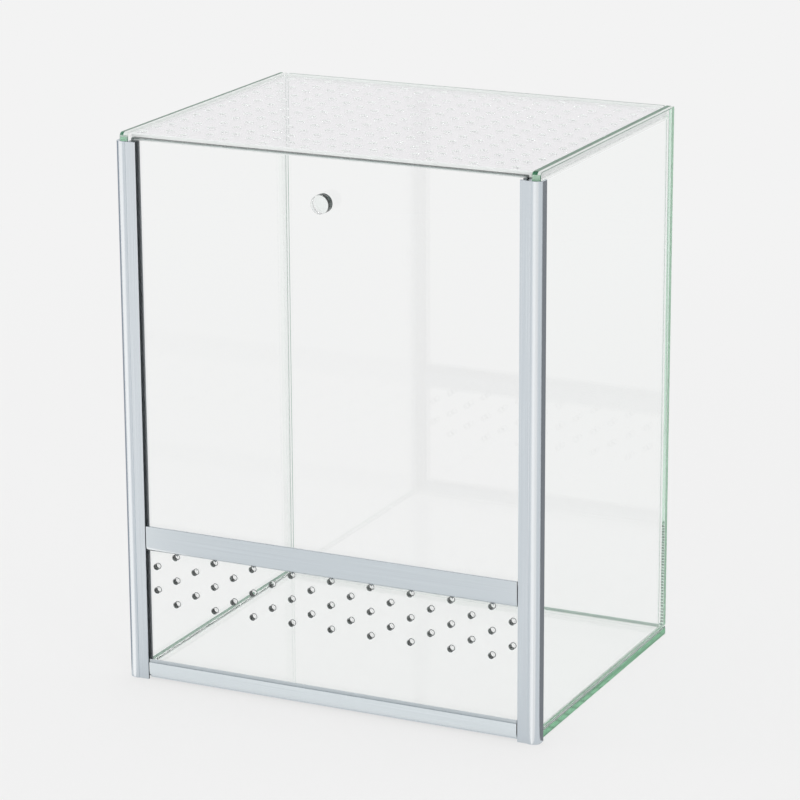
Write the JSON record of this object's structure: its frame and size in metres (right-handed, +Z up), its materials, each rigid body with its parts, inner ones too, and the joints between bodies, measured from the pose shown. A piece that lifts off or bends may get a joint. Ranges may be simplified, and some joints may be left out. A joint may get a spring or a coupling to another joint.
{
  "type": "terrarium cabinet",
  "caption": "Upright glass terrarium with a perforated lid, aluminium front rails, a perforated vent strip and a clear front pane that slides up by a round knob.",
  "frame": {"origin": "middle of the bounding box's footprint, on the floor that the cabinet stands on", "axes": "+Z up, +X to the right as seen from the front, the sliding front faces -Y"},
  "size_m": [0.2008, 0.156, 0.25],
  "materials": {
    "float_glass": "polished, with ground arrises",
    "clear_acrylic": "clear, gloss",
    "knob_acrylic": "clear, polished",
    "anodised_aluminium": "satin, natural anodised",
    "silicone": "clear, satin"
  },
  "bodies": {
    "cabinet": {"base_pane": "float_glass", "back_pane": "float_glass", "left_side_pane": "float_glass", "right_side_pane": "float_glass", "top_panel": "clear_acrylic", "left_rail": "anodised_aluminium", "right_rail": "anodised_aluminium", "bottom_bar": "anodised_aluminium", "middle_bar": "anodised_aluminium", "vent_strip": "clear_acrylic", "rail_bond_left": "silicone", "rail_bond_right": "silicone", "strip_bed_lower": "silicone", "strip_bed_upper": "silicone", "seam_base_back": "silicone", "seam_top_back": "silicone", "seam_base_front": "silicone", "seam_base_left": "silicone", "seam_back_left": "silicone", "seam_top_left": "silicone", "seam_base_right": "silicone", "seam_back_right": "silicone", "seam_top_right": "silicone"},
    "door": {"door_pane": "clear_acrylic", "door_knob": "knob_acrylic", "knob_bond": "silicone"}
  },
  "joints": [
    {"name": "door_slide", "type": "slide", "parent": "cabinet", "child": "door", "axis": [0, 0, 1], "range_m": [0, 0.165]}
  ]
}
